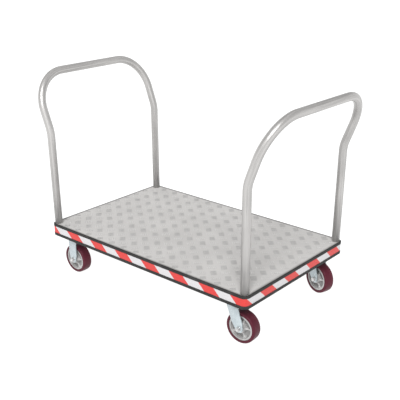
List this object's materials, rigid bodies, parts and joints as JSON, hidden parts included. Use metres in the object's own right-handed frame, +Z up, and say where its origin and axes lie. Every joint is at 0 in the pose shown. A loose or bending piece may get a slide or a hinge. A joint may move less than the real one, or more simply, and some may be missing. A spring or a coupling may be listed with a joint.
{
  "type": "platform truck",
  "caption": "Flatbed platform truck with a treadplate deck, a bumper strip round its edge, a bent tube push handle at each end, and rigid and swivel casters.",
  "frame": {"origin": "on the ground under the middle of the deck", "axes": "+X along the deck towards the swivel caster end, +Y across the deck to the left-hand side, +Z up"},
  "size_m": [1.4384, 0.775, 1.0224],
  "materials": {
    "deck_aluminium": "satin mill finish",
    "frame_aluminium": "satin mill finish",
    "bumper_rubber": "matt charcoal",
    "reflective_tape": "red and white slanting stripes",
    "handle_tube": "satin, brushed along the tube",
    "caster_zinc": "bright zinc plate, slightly blue",
    "fastener_steel": "zinc plated",
    "wheel_core": "cast and partly machined",
    "wheel_tread": "smooth burgundy polyurethane"
  },
  "bodies": {
    "truck": {"deck_plate": "deck_aluminium", "side_rail_right": "frame_aluminium", "side_rail_left": "frame_aluminium", "end_rail_swivel_end": "frame_aluminium", "end_rail_rigid_end": "frame_aluminium", "cross_member_swivel_end": "frame_aluminium", "cross_member_rigid_end": "frame_aluminium", "cross_members_middle": "frame_aluminium", "corner_sockets": "frame_aluminium", "caster_pads": "frame_aluminium", "edge_bumper": "bumper_rubber", "reflective_tape": "reflective_tape", "bumper_screws": "fastener_steel", "handle_swivel_end": "handle_tube", "handle_rigid_end": "handle_tube", "post_screws": "fastener_steel", "caster_plate_bolts": "fastener_steel", "caster_plate_nuts": "fastener_steel", "rigid_right_fork": "caster_zinc", "rigid_right_axle_bolt": "fastener_steel", "rigid_right_axle_nut": "fastener_steel", "rigid_right_sleeve": "fastener_steel", "rigid_right_washers": "fastener_steel", "rigid_left_fork": "caster_zinc", "rigid_left_axle_bolt": "fastener_steel", "rigid_left_axle_nut": "fastener_steel", "rigid_left_sleeve": "fastener_steel", "rigid_left_washers": "fastener_steel", "swivel_right_plate": "caster_zinc", "swivel_right_balls": "fastener_steel", "swivel_right_kingpin": "fastener_steel", "swivel_right_kingpin_nut": "fastener_steel", "swivel_left_plate": "caster_zinc", "swivel_left_balls": "fastener_steel", "swivel_left_kingpin": "fastener_steel", "swivel_left_kingpin_nut": "fastener_steel"},
    "rigid_right_wheel": {"rigid_right_bearing": "fastener_steel", "rigid_right_wheel_core": "wheel_core", "rigid_right_tread": "wheel_tread"},
    "rigid_left_wheel": {"rigid_left_bearing": "fastener_steel", "rigid_left_wheel_core": "wheel_core", "rigid_left_tread": "wheel_tread"},
    "swivel_right_caster": {"swivel_right_fork": "caster_zinc", "swivel_right_axle_bolt": "fastener_steel", "swivel_right_axle_nut": "fastener_steel", "swivel_right_sleeve": "fastener_steel", "swivel_right_washers": "fastener_steel"},
    "swivel_left_caster": {"swivel_left_fork": "caster_zinc", "swivel_left_axle_bolt": "fastener_steel", "swivel_left_axle_nut": "fastener_steel", "swivel_left_sleeve": "fastener_steel", "swivel_left_washers": "fastener_steel"},
    "swivel_right_wheel": {"swivel_right_bearing": "fastener_steel", "swivel_right_wheel_core": "wheel_core", "swivel_right_tread": "wheel_tread"},
    "swivel_left_wheel": {"swivel_left_bearing": "fastener_steel", "swivel_left_wheel_core": "wheel_core", "swivel_left_tread": "wheel_tread"}
  },
  "joints": [
    {"name": "rigid_right_roll", "type": "hinge", "parent": "truck", "child": "rigid_right_wheel", "pos_m": [-0.523, -0.3145, 0.075], "axis": [0, 1, 0], "continuous": true},
    {"name": "rigid_left_roll", "type": "hinge", "parent": "truck", "child": "rigid_left_wheel", "pos_m": [-0.523, 0.3145, 0.075], "axis": [0, 1, 0], "continuous": true},
    {"name": "swivel_right_turn", "type": "hinge", "parent": "truck", "child": "swivel_right_caster", "pos_m": [0.523, -0.3145, 0.18], "axis": [0, 0, 1], "continuous": true},
    {"name": "swivel_left_turn", "type": "hinge", "parent": "truck", "child": "swivel_left_caster", "pos_m": [0.523, 0.3145, 0.18], "axis": [0, 0, 1], "continuous": true},
    {"name": "swivel_right_roll", "type": "hinge", "parent": "swivel_right_caster", "child": "swivel_right_wheel", "pos_m": [0.56295, -0.31241, 0.075], "axis": [-0.0523, 0.9986, 0], "continuous": true},
    {"name": "swivel_left_roll", "type": "hinge", "parent": "swivel_left_caster", "child": "swivel_left_wheel", "pos_m": [0.56145, 0.30347, 0.075], "axis": [0.2756, 0.9613, 0], "continuous": true}
  ]
}
